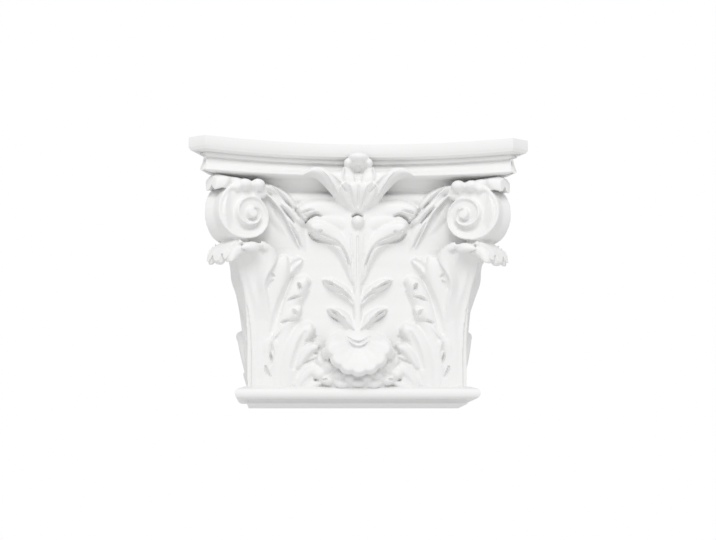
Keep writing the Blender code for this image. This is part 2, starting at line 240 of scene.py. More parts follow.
# The broad body of the leaf beside the rib, with a small cupped lobe at its head
stroke((-97.2, 10.1, 12, 5), (-96.4, 42.4, 13, 7), (-93.5, 72.9, 14, 8), (-89.6, 101.5, 14, 11),
       (-84.6, 123.8, 15, 14), (-78.5, 141, 12, 14), (-73, 152, 5, 11), n=(24, 50))
stroke((-77.5, 122.1, 3, 8), (-72.4, 133.2, 5, 9), (-66.4, 142.2, 6.5, 10), (-60.2, 146.5, 5, 9),
       (-56.1, 147.8, 2, 7), cup=0.5, wide=0.45, n=(18, 30))

# The two fingers, which stand out further on the side faces, and a low swell under them
FINGERS = (((-82.0, 10.1, 12, 6), (-80.1, 42.4, 12, 8), (-75.2, 72.7, 11, 9.5), (-69.2, 98.1, 11.5, 11),
            (-62.2, 115.2, 11.5, 12), (-54.5, 124.2, 9.5, 12), (-47.9, 125.6, 5, 9)),
           ((-74.9, 10.1, 13, 6), (-72.0, 32.2, 14, 9), (-67.0, 52.2, 14, 12), (-59.0, 67.2, 13, 13.5),
            (-49.9, 75.2, 10.5, 14), (-43.2, 77.5, 5.5, 11)))
for copies, more in ((PAIR, 0), (SIDES, 9)):
    for finger in FINGERS:
        stroke(*((x, z, half, rise + more * k / 6) for k, (x, z, half, rise) in enumerate(finger)),
               copies=copies, square=2.4, edge=0.0, free=0.14, n=(28, 70))
stroke((-58, 12, 18, 7), (-51, 26, 17, 9), (-44, 42, 13, 9), (-38, 58, 9, 7), square=2.4, edge=0.0,
       n=(28, 40))

# Lobes under each finger, the thin rim between the two, and leaflets in the gaps beside them
for lobe in (((-80.3, 66.8, 6, 8), (-74.2, 81.9, 7, 10), (-67.2, 91.8, 8.5, 13), (-60.6, 95.4, 7, 13),
              (-57.0, 95.2, 3, 11)),
             ((-62.9, 36.2, 6, 9), (-55.8, 47.1, 7, 12), (-48.8, 55.1, 7.5, 14), (-42.7, 57.1, 6, 14),
              (-38.6, 55.8, 3, 12)),
             ((-62.8, 16.0, 6, 8), (-54.7, 26.9, 7.5, 11), (-46.7, 33.9, 7.5, 13), (-40.6, 34.9, 6, 13),
              (-35.5, 33.5, 3, 11)),
             ((-56.7, 11.0, 5, 7), (-48.6, 17.0, 6, 9), (-40.5, 21.0, 5.5, 10), (-34.4, 21.5, 3, 9))):
    stroke(*lobe, square=2.6, edge=0.0, free=0.2, n=(18, 30))
for leaflet in (((-95.4, 52.4, 1.6, 9), (-89.4, 62.4, 1.8, 11), (-82.3, 71.4, 2, 13), (-76.3, 78.5, 2, 13),
                 (-70.2, 82.2, 1.6, 12)),
                ((-91.3, 42.4, 2.5, 8), (-93.4, 52.3, 3.5, 10), (-92.4, 61.4, 3.5, 11),
                 (-89.4, 65.6, 2, 10)),
                ((-85.2, 40.3, 2.5, 8), (-82.2, 50.3, 3.5, 10), (-83.3, 59.4, 3.5, 11),
                 (-85.3, 64.5, 2, 10)),
                ((-89.2, 30.4, 3, 6), (-86.2, 36.2, 3, 9), (-82.2, 44.2, 3, 10), (-78.1, 50.4, 2, 9)),
                ((-95.8, 105.7, 3, 8), (-92.7, 113.4, 4.5, 11), (-89.7, 120.4, 5, 12),
                 (-86.7, 125.5, 4, 12), (-84.7, 128.9, 2, 10)),
                ((-87.6, 105.6, 3, 9), (-83.6, 113.3, 4, 12), (-80.5, 120.5, 4, 12), (-79.6, 125.7, 2, 11)),
                ((-100.8, 93.4, 2.5, 8), (-99.8, 101.3, 4, 10), (-97.8, 108.3, 4, 11),
                 (-96.8, 113.6, 2, 10))):
    stroke(*leaflet, cup=0.3, n=(10, 20))


# The centre leaf nods out from the bell as a smooth cap, its edge scalloped and undercut, over low lobes
# at the foot. It is moulded with the bell; the deep shadow below its edge comes from the undercut.
CAP_Z = 62


def centre_leaf(s, t, top):
    angle = math.pi * s
    low = (1 + math.cos(angle)) / 2
    turn = abs(math.degrees(angle))
    scallop = abs(math.cos(math.radians(turn * 7.5))) ** 0.7 * (1 - ease(78, 95, turn))
    reach = 16 + 17.5 * ease(0, 0.55, low) + 0.5 * ease(0.6, 1, low) + 2.4 * scallop
    hung = 15 + 14 * math.sin(math.pi / 2 * min(t / 0.8, 1)) - 6 * ease(0.86, 1, t)
    hung += 2.0 * scallop * ease(0.72, 0.95, t)
    laid = 15 * (1 - t * t)
    front = 60 - (hung + (laid - hung) * (1 - ease(0.25, 0.6, low)))
    share = t * (1.0 if top else 0.93)
    behind = 68 + (min(front + 8, 68) - 68) * ease(0.4, 0.8, t) * ease(0.3, 0.6, low)
    return Vector((share * reach * math.sin(angle), front if top else behind,
                   CAP_Z - share * reach * math.cos(angle)))


def knob(x, y, z, rx, ry, rz, copies=PAIR):
    """A rounded boss."""
    form = bmesh.new()
    bmesh.ops.create_icosphere(form, subdivisions=3, radius=1.0)
    for v in form.verts:
        v.co = Vector((x + v.co.x * rx, y + v.co.y * ry, z + v.co.z * rz))
    lay(form, copies)


sheet(180, 40, lambda s, t: centre_leaf(s, t, True), lambda s, t: centre_leaf(s, t, False), CENTRE)
stroke((0, 7, 38, 9), (0, 20, 42, 13), (0, 32, 38, 17), (0, 44, 28, 16), (0, 56, 18, 8), copies=CENTRE,
       square=3, edge=0.0, n=(50, 40))
for x, z, wide, tall in ((0, 21, 8, 4.5), (-9, 25.5, 6.5, 5), (-20, 30, 7, 6), (-31, 36, 6.5, 6.5),
                         (-16, 20, 8, 5),
                         (-30, 24, 7.5, 5.5), (-39, 30, 6.5, 6), (-37, 44, 6, 7), (-21, 38, 6, 5)):
    knob(x, 51.5 + abs(x) / 12, z, wide, 7, tall, PAIR if x else CENTRE)
knob(-31, 46, 51, 7, 9, 6.5)
knob(-29, 52, 38.5, 6.5, 8, 5.5)


# The stem rises from the centre leaf with two pairs of small cupped leaves, and opens into a smooth plate
# whose two edges end in nodding buds. Above them a broad lobe spreads to each side under the lip.
stroke((0, 62, 6, 7), (0, 90, 4.5, 7), (0, 126, 5, 8), (0, 150, 6, 9), (0, 178, 7, 10), copies=CENTRE)
stroke((0, 100.3, 3, 5), (0, 121.7, 5, 6), (0, 142.0, 9, 7), (0, 160.2, 16, 8), (0, 179.7, 24, 8),
       (0, 204, 26, 8), copies=CENTRE, n=(40, 50))
knob(0, 43.5, 186.3, 6.6, 8, 6.2, CENTRE)
for leaf in (((-1.6, 100.1, 3, 6), (-7.3, 108.6, 4.5, 8), (-13.6, 114.8, 6, 11), (-21.9, 120.1, 6, 13),
              (-29.5, 124.3, 5, 12), (-36.1, 127.7, 2, 9)),
             ((-1.6, 73.4, 3, 6), (-6.3, 79.3, 4.5, 8), (-11.6, 85.6, 6, 11), (-17.8, 91.0, 6, 13),
              (-24.9, 94.7, 5, 12), (-30.9, 98.1, 2, 9))):
    stroke(*leaf, copies=PAIR, square=3, free=0.3, n=(20, 36))
stroke((-3.6, 122.7, 4, 6), (-7.9, 142.8, 7, 8), (-15.2, 159.8, 9, 10), (-25.6, 171.6, 11, 12),
       (-37.0, 178.2, 10.5, 15), (-46.2, 179.0, 8.5, 16), (-50.7, 177.4, 4.5, 13), copies=PAIR, square=3,
       free=0.2, n=(28, 60))
stroke((-3.8, 191.5, 14, 6), (-19.3, 196.2, 14, 8), (-33.8, 199.1, 12.5, 11), (-47.2, 199.0, 12, 13.5),
       (-56.4, 197.5, 9, 13), (-62.5, 194.9, 3.5, 10), copies=PAIR, square=3, free=0.2, n=(28, 50))
stroke((-5.9, 179.9, 12, 7), (-20.4, 186.6, 12, 9), (-36.9, 189.4, 10, 10), (-50.2, 188.4, 8, 9.5),
       (-57.3, 185.5, 3, 8), copies=PAIR, square=2.4, edge=0.0, n=(24, 40))


# Each volute is a rimmed band wound in two turns to its eye, hollowed between its rims and deepest under
# the inner turn. The front and side volutes meet at the corner, and are moulded with the bell.
COIL = through(*((r, 0) for r in (31, 39, 25.5, 18, 17.5, 18.5, 11.5, 8, 7, 6.5, 4.5, 3.5, 3)))
COIL_STEPS = 16
COIL_RIM = 39
COIL_PARTS = (0.0, 0.04, 0.09, 0.15, 0.2, 0.26, 0.34, 0.48, 0.62, 0.76, 0.88, 0.97, 1.0)
VOLUTE_THICK = 25.5
VOLUTE_TURN = math.radians(32)
VOLUTE_EYE = Vector((-108, 33, 191.5))
outward = Vector((-math.cos(VOLUTE_TURN), -math.sin(VOLUTE_TURN), 0))
forward = Vector((math.sin(VOLUTE_TURN), -math.cos(VOLUTE_TURN), 0))
turn_steps = 4 * COIL_STEPS
form = bmesh.new()
made = bmesh.ops.create_grid(
    form, x_segments=2 * turn_steps, y_segments=len(COIL_PARTS) - 1, size=1.0)['verts']
for v in made:
    part = COIL_PARTS[round((v.co.y + 1) / 2 * (len(COIL_PARTS) - 1))]
    quarter = round((v.co.x + 1) * turn_steps) / COIL_STEPS
    outer, inner = COIL(quarter / 12).x, COIL((quarter + 4) / 12).x
    radius = outer + (inner - outer) * part
    angle = quarter * math.pi / 2
    low = 0.55 - 0.45 * math.cos(angle)
    crest = outer if part < 0.3 else inner if part == 1 else radius
    rise = 6.5 * (1 - crest / COIL_RIM)
    if part < 1:
        rise -= 3.6 * ease(0.12, 0.32, part) + 5 * low * ease(0.4, 0.8, part)
    v.co = Vector((radius * math.sin(angle), radius * math.cos(angle), rise))
bmesh.ops.remove_doubles(form, verts=made, dist=0.01)
hole = [e for e in form.edges if e.is_boundary and max(v.co.xy.length for v in e.verts) < 12]
bmesh.ops.holes_fill(form, edges=hole)
grown = bmesh.ops.extrude_face_region(form, geom=form.faces[:])['geom']
under = {g for g in grown if isinstance(g, bmesh.types.BMVert)}
for v in form.verts:
    rise = -VOLUTE_THICK if v in under else v.co.z
    v.co = VOLUTE_EYE + outward * v.co.x + forward * rise + Vector((0, 0, v.co.y))
lay(form, CORNERS)


# The stalk rises in two ridges to each volute, with husk leaves and small bosses where the volute springs
# from it, and a curled leaf lies over the volute under the horn. All are moulded with the bell.
stroke((-88.2, 218.4, 9, 14), (-76.9, 204.5, 9, 11), (-67.6, 190.1, 8, 8), (-60.3, 174.7, 6, 5),
       (-54.0, 158.0, 3, 1), square=2, edge=0.0, n=(18, 40))
stroke((-100.5, 212.1, 10, 8), (-91.2, 201.9, 10, 6), (-79.9, 187.0, 8, 3), (-70, 172.5, 4, 0.3), square=2,
       edge=0.0)
for ridge in (((-95.8, 215.6, 3.2, 17), (-83.5, 203.3, 3, 14), (-74.3, 191.0, 2.8, 11),
               (-67.0, 176.2, 2.4, 8), (-59.7, 159.7, 1.5, 3)),
              ((-71.7, 191.2, 2, 10), (-67.1, 183.5, 2.4, 10), (-61.9, 175.2, 2.2, 8),
               (-56.1, 161.8, 1.5, 3))):
    stroke(*ridge, square=2, edge=0.0, n=(12, 50))
for husk in (((-63.5, 200.8, 3, 9), (-70.8, 208.3, 5.5, 13), (-81.0, 215.4, 6, 16), (-90.2, 219.4, 5.5, 19),
              (-99.4, 221.7, 4, 20)),
             ((-61.4, 185.3, 2.5, 9), (-65.1, 192.3, 4.5, 12.5), (-71.3, 199.2, 5, 14),
              (-77.9, 204.1, 3, 13))):
    stroke(*husk, square=2.6, edge=0.0, n=(14, 40))
for boss in ((-102.5, 30, 221, 7.5, 8, 6), (-116, 27, 221, 8, 7, 5.5), (-124, 25, 217, 5, 6, 4.5),
             (-103, 40, 212, 9, 8, 5), (-106.5, 35.5, 212, 5.5, 4.5, 4.5), (-98, 42, 217, 6, 9, 4.5),
             (-58.9, 49, 189.4, 6, 6, 5)):
    knob(*boss, copies=CORNERS)


def horn_leaf(s, t, top):
    r = 18 + 41 * t
    width = (12 - 7 * t) * (1 + 0.14 * math.cos(5 * math.pi * t))
    u = (s + 1) * width
    z = 225 + 2 * math.sin(math.pi * t) + 2.2 * math.exp(-((u - 2) / 3) ** 2) - 2 * ease(0.85, 1, t)
    z -= 0.012 * u * u
    z += 1.3 * math.cos(u * 0.9) * (1 - t)
    p = CORNER + Vector((0, 0, z)) + (Vector((-1, -1, 0)) * r + Vector((1, -1, 0)) * u) / math.sqrt(2)
    thick = (7 + 4 * ease(0.6, 0.9, t)) * (1 - 0.7 * s ** 4)
    return p + Vector((0, 0, 2 * (1 - s ** 6) if top else -thick))


sheet(30, 40, lambda s, t: horn_leaf(s, t, True), lambda s, t: horn_leaf(s, t, False), CORNERS)


# The fleuron stands on the middle of the abacus: a knob and a cup over a fluted calyx, with a long leaf
# to each side. It reaches down over the cove to the head of the stem, and is moulded with them.
def flower_face(z):
    return 50 - 14 * ease(190, 232, z)


knob(0, 28, 249.5, 10.5, 10, 5, CENTRE)
knob(0, 30, 246, 6, 7, 4, CENTRE)
knob(-10.5, 32, 244.5, 4.5, 8, 5)
stroke((-13.9, 224.6, 3, 11), (-16.1, 231.1, 3, 13), (-14.6, 239.5, 2.5, 13), copies=PAIR, square=2,
       host=flower_face, n=(12, 24))
stroke((0, 192, 5, 5), (0, 200, 12, 9), (0, 209, 16, 12), (0, 217, 17, 13), (0, 224, 15, 11), copies=CENTRE,
       host=flower_face, n=(40, 40))
stroke((0, 215, 12, 10), (0, 226.6, 17, 10), (0, 234.3, 18, 9), (0, 243, 15, 9), copies=CENTRE, cup=0.95,
       wide=0.55, square=6, host=flower_face, n=(40, 30))
stroke((-5.2, 200.2, 5, 9), (-9.2, 208.5, 7.5, 14), (-12.5, 215.5, 8.5, 17), (-15, 222.5, 7, 19),
       copies=PAIR, cup=0.25, host=flower_face, n=(20, 40))
stroke((-4, 222, 12, 9), (-15, 224.5, 12, 10), (-25, 228, 9.5, 11), (-34, 231.5, 5, 11), copies=PAIR,
       host=flower_face, n=(20, 40))
stroke((-11.2, 201.9, 4, 5), (-15.6, 209.0, 6, 8), (-21.0, 217.8, 7, 11), (-28.3, 226.5, 7.5, 13),
       (-36.5, 233.3, 7, 14), (-46.6, 235.3, 5, 14), (-56.7, 230.7, 1.5, 11), copies=PAIR,
       square=3, host=flower_face, n=(24, 50))
for ridge in (((-18.7, 209.5, 1.8, 10), (-22.1, 215.3, 2, 14), (-26.8, 222.5, 2, 16),
               (-33.5, 231.2, 2, 16.5), (-43.6, 237.9, 1.5, 15)),
              ((-18.1, 222.9, 2, 14), (-25.3, 229.6, 2.2, 15), (-33.4, 233.9, 1.5, 14))):
    stroke(*ridge, copies=PAIR, square=2, edge=0.0, host=flower_face, n=(10, 40))


# The mould gives all the carving one unbroken skin, softened a little at its edges as a cast is.
# Voxels of about a millimetre fuse the forms, and the skin is then thinned where it is flat.
def as_object(form, name):
    bmesh.ops.recalc_face_normals(form, faces=form.faces[:])
    if form.calc_volume(signed=True) < 0:
        bmesh.ops.reverse_faces(form, faces=form.faces[:])
    mesh = bpy.data.meshes.new(name)
    form.to_mesh(mesh)
    form.free()
    made = bpy.data.objects.new(name, mesh)
    bpy.context.scene.collection.objects.link(made)
    return made


def settle(piece):
    """Makes the modifiers' result the piece's own mesh."""
    shape = bpy.data.meshes.new_from_object(piece.evaluated_get(bpy.context.evaluated_depsgraph_get()))
    piece.modifiers.clear()
    piece.data = shape


VOXEL = 1.05
TO_METRES = Matrix.Translation((0, -DEPTH / 2000, 0)) @ Matrix.Scale(0.001, 4)
bmesh.ops.transform(carving, matrix=TO_METRES, verts=carving.verts[:])
capital = as_object(carving, "capital_cast")
skin = capital.modifiers.new("one skin", 'REMESH')
skin.mode = 'VOXEL'
skin.voxel_size = VOXEL / 1000
soften = capital.modifiers.new("soften", 'SMOOTH')
soften.factor = 0.5
soften.iterations = 2
settle(capital)


# A carver's gouge leaves the grooves between the lobes and the drilled eyes at their roots, and the mould
# takes them over. Each cut is a path of x, z, half width and depth that presses the skin in.
TRIANGLES, TRAIL_STEPS, DEEPEST = 168000, 80, 80
places = np.empty(len(capital.data.vertices) * 3)
capital.data.vertices.foreach_get('co', places)
places = places.reshape(-1, 3) * 1000 + (0, DEPTH / 2, 0)


def gouge(*knots, copies):
    """Presses a groove into the skin along a path, in each of its copies."""
    path = through(*knots)
    trail = np.array([path(k / TRAIL_STEPS) for k in range(TRAIL_STEPS + 1)])
    for copy in copies:
        drawn = places.copy()
        if copy in (across, round_right):
            drawn[:, 0] *= -1
        if copy in SIDES:
            drawn = np.stack((drawn[:, 1] - DIAGONAL, drawn[:, 0] + DIAGONAL, drawn[:, 2]), axis=1)
        reach = trail[:, 2].max()
        near = ((drawn[:, 0] > trail[:, 0].min() - reach) & (drawn[:, 0] < trail[:, 0].max() + reach)
                & (drawn[:, 2] > trail[:, 1].min() - reach) & (drawn[:, 2] < trail[:, 1].max() + reach)
                & (drawn[:, 1] - drawn[:, 0] < DIAGONAL + 4) & (drawn[:, 1] < DEEPEST))
        ids = np.nonzero(near)[0]
        if not len(ids):
            continue
        gap = np.hypot(drawn[ids, 0][:, None] - trail[:, 0], drawn[ids, 2][:, None] - trail[:, 1])
        gap /= trail[:, 2]
        best = gap.argmin(axis=1)
        amount = trail[best, 3] * np.clip(1 - gap.min(axis=1) ** 2, 0, 1)
        push = (0, 1.0, 0) if copy in PAIR else (1.0 if copy is round_left else -1.0, 0, 0)
        places[ids] += amount[:, None] * np.array(push)


# On every corner the eyes and channels of the fingers, the gaps between lobes, the crest and the stalk;
# on the two front halves the lobes of the first finger, the buds, the small leaves and the plate's flutes;
# in the middle the calyx, the rim of the cup, the folds over the centre leaf and the hole over the bead.
for copies, cuts in (
        (CORNERS, (((-60.6, 121.6, 1.8, 4), (-59.5, 118.7, 2.2, 7), (-58.6, 116.5, 1.8, 4)),
                ((-67.3, 130.7, 2.5, 1.5), (-73.4, 117.4, 3.5, 3), (-79.4, 102.1, 4, 3.5),
                 (-83.9, 86.8, 4, 3), (-87.4, 72.5, 3, 2)),
                ((-53.9, 71.5, 2.5, 1.5), (-57.9, 62.4, 3.5, 3), (-61.9, 51.2, 4, 3),
                 (-65.9, 37.0, 3.5, 2)),
                ((-52.8, 63.4, 1.2, 1.5), (-47.8, 66.0, 1.6, 3), (-42.2, 69.0, 1.2, 2)),
                ((-44.2, 52.2, 1.3, 1.5), (-42.2, 51.5, 1.6, 3), (-40.6, 51.2, 1.3, 1.5)),
                ((-54.8, 41.5, 1.3, 2), (-48.7, 43.6, 1.9, 4), (-42.1, 45.9, 1.5, 3)),
                ((-43.1, 24.5, 1.8, 4), (-41.4, 24.5, 1.8, 4)),
                ((-34.5, 24.0, 1.8, 4), (-32.9, 24.0, 1.8, 4)),
                ((-89.0, 52.1, 1.2, 2), (-88.2, 47.1, 1.7, 6), (-87.4, 43.0, 1.2, 3)),
                ((-93.7, 37.9, 1.3, 3), (-92.2, 32.9, 1.8, 4), (-89.1, 28.3, 1.3, 3)),
                ((-87.3, 59.2, 1.2, 1.5), (-87.8, 54.2, 1.5, 3)),
                ((-88.2, 131.6, 1.3, 1.5), (-86.7, 130.1, 1.6, 3.5), (-85.2, 128.6, 1.3, 1.5)),
                ((-91.7, 117.4, 1.5, 1.5), (-89.7, 122.5, 1.8, 2.5), (-86.7, 125.0, 1.3, 2)),
                ((-91.2, 208.4, 1.5, 1), (-86.1, 201.1, 2, 2), (-78.9, 187.7, 2, 1.5),
                 (-71.6, 174.4, 1.5, 1)),
                ((-97.3, 157.4, 1.3, 1), (-97.3, 154, 1.5, 2), (-97.3, 151, 1.3, 1)),
                ((-92.3, 222.0, 1.2, 2), (-82.1, 215.2, 1.6, 4), (-71.8, 204.9, 1.6, 5),
                 (-64.6, 195.0, 1.2, 3)),
                ((-78.9, 201.2, 1.2, 2), (-72.2, 193.9, 1.5, 5), (-65.6, 185.7, 1.2, 3)),
                ((-70.7, 184.7, 1, 1.5), (-65.0, 174.5, 1.2, 2.5), (-58.3, 162.3, 1, 1.5)))),
        (PAIR, (((-71.3, 104.7, 1.2, 2), (-65.2, 107.8, 1.9, 5), (-58.1, 109.4, 1.3, 2)),
                ((-66.2, 95.0, 1.6, 2.5), (-64.1, 92.0, 2.2, 5), (-62.6, 89.9, 1.6, 2.5)),
                ((-73.2, 83.7, 1.3, 1.5), (-68.2, 84.3, 1.8, 2.5), (-62.1, 86.3, 1.4, 2)),
                ((-78.3, 81.7, 1.4, 2), (-75.3, 83.2, 1.7, 4), (-71.7, 84.8, 1.4, 2)),
                ((-9.2, 218.5, 1.2, 2), (-6.6, 210.1, 1.3, 2.5), (-3.6, 199.6, 1, 1.5)),
                ((-53.5, 185.8, 1.5, 5), (-50.7, 189.4, 1.9, 8), (-47.2, 192.0, 2.1, 9),
                 (-42.6, 193.5, 1.9, 8), (-37.4, 191.8, 1.4, 3)),
                ((-64.1, 197.6, 1.3, 3), (-60.9, 193.4, 1.6, 5), (-57.4, 189.4, 1.6, 5),
                 (-53.5, 185.8, 1.4, 4)),
                ((-56.4, 194.8, 1.3, 3), (-51.3, 196.4, 1.6, 4), (-46.2, 196.9, 1.2, 2)),
                ((-47.1, 177.1, 1, 1.6), (-42.0, 174.1, 1.3, 2.2), (-31.7, 170.1, 1.3, 2.2),
                 (-20.5, 164.5, 1.3, 2.2), (-13.2, 155.4, 1.2, 2), (-8.6, 142.2, 1, 1.6)),
                ((-38.5, 175.4, 1.5, 3), (-37.7, 175.0, 1.5, 3)),
                ((-49.7, 174.6, 1.5, 3), (-43.0, 169.0, 2, 5), (-28.6, 165.0, 2, 5), (-17.4, 158.9, 2, 4),
                 (-9.6, 145.2, 1.7, 3), (-6.0, 125.9, 1.3, 1.5)),
                ((-34.6, 124.7, 1.4, 2), (-28.5, 119.2, 1.8, 4), (-20.3, 115.1, 1.9, 5),
                 (-12.1, 111.6, 1.7, 4), (-5.4, 104.4, 1.3, 2)),
                ((-30.0, 94.6, 1.4, 2), (-24.4, 89.0, 1.8, 4), (-16.2, 84.4, 1.9, 5), (-9.1, 78.8, 1.6, 3),
                 (-4.0, 74.7, 1.2, 2)),
                ((-32.6, 124.8, 1.3, 3), (-27.5, 122.2, 1.7, 6), (-22.4, 119.2, 1.5, 4),
                 (-15.2, 115.7, 1.2, 2)),
                ((-27.9, 95.2, 1.3, 3), (-23.3, 92.6, 1.7, 6), (-18.7, 89.0, 1.5, 4),
                 (-13.1, 85.0, 1.2, 2)),
                ((-18.4, 220.5, 1, 1.5), (-15.4, 217.4, 1.2, 2.5), (-12.3, 214.2, 1, 1.5)),
                ((-4.4, 115.7, 0.9, 0.8), (-5.2, 136.1, 1.1, 1.2), (-6.1, 156.4, 1.2, 1.4),
                 (-7.1, 172.8, 1.1, 1)),
                ((0.1, 113.7, 0.9, 0.6), (0.1, 136.1, 1, 1), (0.1, 156.5, 1.1, 1.2),
                 (0.0, 170.8, 1.1, 1)))),
        (CENTRE, (((0.1, 219.6, 1.2, 1.5), (0.1, 211.2, 1.3, 2.5), (0.0, 200.7, 1, 1.5)),
                ((-7.1, 240.6, 2.5, 3), (-2.9, 236.4, 3, 6), (0.2, 235.4, 3, 7), (3.3, 236.5, 3, 6),
                 (7.4, 240.7, 2.5, 3)),
                ((-12.1, 67.6, 1.2, 2), (-6.0, 63.2, 1.6, 4), (0.1, 61.9, 1.6, 4), (6.2, 63.2, 1.6, 4),
                 (11.9, 67.6, 1.2, 2)),
                ((-11.1, 61.5, 1.2, 2), (-5.5, 57.4, 1.6, 4), (0.1, 56.1, 1.6, 4), (5.7, 57.4, 1.6, 4),
                 (10.8, 61.5, 1.2, 2)),
                ((-4.6, 192.0, 1.6, 7), (-0.5, 193.6, 2, 10), (3.6, 192.1, 1.6, 7)))),
):
    for cut in cuts:
        gouge(*cut, copies=copies)
capital.data.vertices.foreach_set('co', ((places - (0, DEPTH / 2, 0)) / 1000).reshape(-1))
facets = capital.modifiers.new("facets", 'DECIMATE')
facets.ratio = min(1.0, TRIANGLES / (2 * len(capital.data.polygons)))
settle(capital)


# The abacus is the moulded slab on top: hollowed on its three sides, with a cut corner at each horn, and
# crisp where the carving is soft. Its profile runs true round the plan, in the same casting as the bell.
def swept(name, plan, profile):
    """A solid with a moulded edge: the profile gives how far in, how much of that is lost mid-front, and how
    high."""
    shape = bmesh.new()
    last, steps = len(plan) - 1, len(profile) - 1

    def inward(k, amount, flat):
        here = Vector(plan[k])
        spans = zip(plan[max(k - 1, 0):k + 1], plan[max(k, 1):k + 2])
        sides = [(Vector(b) - Vector(a)).normalized() for a, b in spans]
        normals = [Vector((-side.y, side.x)) for side in sides]
        mean = sum(normals, Vector((0, 0))).normalized()
        middle = max(0.0, 1 - (2 * here.x / HORN_SPAN) ** 2) if here.y <= FRONT_HOLLOW else 0.0
        return here + mean * ((amount - flat * middle) / mean.dot(normals[0]))

    verts = bmesh.ops.create_grid(shape, x_segments=last, y_segments=steps, size=1.0)['verts']
    grown = bmesh.ops.extrude_face_region(shape, geom=shape.faces[:])['geom']
    under = [g for g in grown if isinstance(g, bmesh.types.BMVert)]
    for group, outer in ((verts, True), (under, False)):
        for v in group:
            amount, flat, z = profile[round((v.co.y + 1) / 2 * steps)]
            core = Vector((v.co.x * 90, PAST_WALL))
            p = inward(round((v.co.x + 1) / 2 * last), amount, flat) if outer else core
            v.co = Vector((p.x, p.y, z))
    bmesh.ops.transform(shape, matrix=TO_METRES, verts=shape.verts[:])
    return as_object(shape, name)


HORN_SPAN, HORN_CUT, HORN_SETBACK, FRONT_HOLLOW = 344.0, 17.0, 11.0, 34.0
SLAB_TALL, ABACUS_STEP, LIP_FLAT = 11.0, 10.0, 10.0
half_front = HORN_SPAN / 2 - HORN_CUT
front = [(half_front * (k / 30 - 1), FRONT_HOLLOW * (1 - (1 - k / 30) ** 2)) for k in range(61)]
side = []
for k in range(25):
    y = HORN_SETBACK + (PAST_WALL - HORN_SETBACK) * k / 24
    side.append((HORN_SPAN / 2 - FRONT_HOLLOW * (1 - (1 - (y - HORN_SETBACK) / half_front) ** 2), y))
plan = [(-x, y) for x, y in reversed(side)] + front + side
under, rest = HEIGHT - SLAB_TALL, ABACUS_TALL - SLAB_TALL
profile = [(0.5, 0, HEIGHT), (0, 0, HEIGHT - 0.5), (0, 0, under + 0.4), (0.3, 0, under)] + [
    (ABACUS_STEP * share, flat * LIP_FLAT, under - rest * drop) for share, flat, drop in (
        (0.15, 0, 0.1), (0.55, 0, 0.15), (1.05, 0, 0.15), (1.05, 0, 0.185), (0.98, 0, 0.2), (0.98, 0, 0.3),
        (1.05, 0, 0.315), (1.5, 0, 0.33), (1.5, 0, 0.385), (1.4, 0.08, 0.43), (1.33, 0.15, 0.54),
        (1.27, 0.3, 0.66), (1.2, 0.5, 0.74), (1.1, 0.85, 0.85), (1.05, 1, 0.91), (1.05, 1, 0.95),
        (1.12, 1, 0.985), (1.4, 1, 1))]
abacus = swept("abacus", plan, profile)


# The astragal is the half-round bead round the foot, over a narrow fillet that sits on the shaft. It is
# of the same casting too, and its profile runs round the front and the two sides of the pilaster.
NECK_TALL, ASTRAGAL_RADIUS, ASTRAGAL_OUT = 4.5, 5.6, 12.0
FILLET_IN, FOOT_TALL, FOOT_EASED = 1.5, 0.9, 0.4
half, shaft_front = SHAFT_WIDTH / 2, DEPTH - SHAFT_DEPTH
middle, flank = NECK_TALL + 1.05 * ASTRAGAL_RADIUS, ASTRAGAL_RADIUS - ASTRAGAL_OUT
profile = [(6, 0, middle + ASTRAGAL_RADIUS + 5), (3, 0, middle + ASTRAGAL_RADIUS + 2.5),
           (flank / 2, 0, middle + ASTRAGAL_RADIUS + 1.5)]
for k in range(17):
    turn = math.pi * k / 16
    profile.append((flank - ASTRAGAL_RADIUS * math.sin(turn), 0, middle + ASTRAGAL_RADIUS * math.cos(turn)))
profile += [(FILLET_IN, 0, NECK_TALL + 0.2), (FILLET_IN, 0, FOOT_TALL), (0, 0, FOOT_TALL), (0, 0, FOOT_EASED),
            (FOOT_EASED, 0, 0)]
base = swept("base", [(-half, PAST_WALL), (-half, shaft_front), (half, shaft_front), (half, PAST_WALL)],
             profile)


# The casting is one solid, so the abacus and the base are fused with the carved skin. All of it is cut
# off flat at the wall, the top and the foot, where it meets the building.
shape = bmesh.new()
bmesh.ops.create_cube(shape, size=1.0)
bmesh.ops.transform(shape, verts=shape.verts[:], matrix=Matrix.Translation((0, DEPTH / 2000 - 0.2, 0.2))
                    @ Matrix.Diagonal((0.6, 0.4, 0.4, 1)))
room = as_object(shape, "room")
joined = [(abacus, 'UNION'), (base, 'UNION'), (room, 'INTERSECT')]
for other, operation in joined:
    step = capital.modifiers.new(other.name, 'BOOLEAN')
    step.operation = operation
    step.solver = 'MANIFOLD'
    step.object = other
settle(capital)
for other, operation in joined:
    bpy.data.objects.remove(other, do_unlink=True)
capital.data.shade_smooth()
capital.data.set_sharp_from_angle(angle=math.radians(40))


# White moulded foam with a matt sealed skin: hardly any colour of its own, a faint cloud of warmth in it,
# and a fine even grain from the mould.
class Wire:
    """A shader socket that takes arithmetic."""

    def __init__(self, tree, socket):
        self.tree, self.socket = tree, socket

    def maths(self, operation, other):
        node = self.tree.nodes.new('ShaderNodeMath')
        node.operation = operation
        for slot, value in zip(node.inputs, (self, other)):
            if isinstance(value, Wire):
                self.tree.links.new(value.socket, slot)
            else:
                slot.default_value = value
        return Wire(self.tree, node.outputs[0])

    def __add__(self, other):
        return self.maths('ADD', other)

    def __mul__(self, other):
        return self.maths('MULTIPLY', other)

    __radd__, __rmul__ = __add__, __mul__


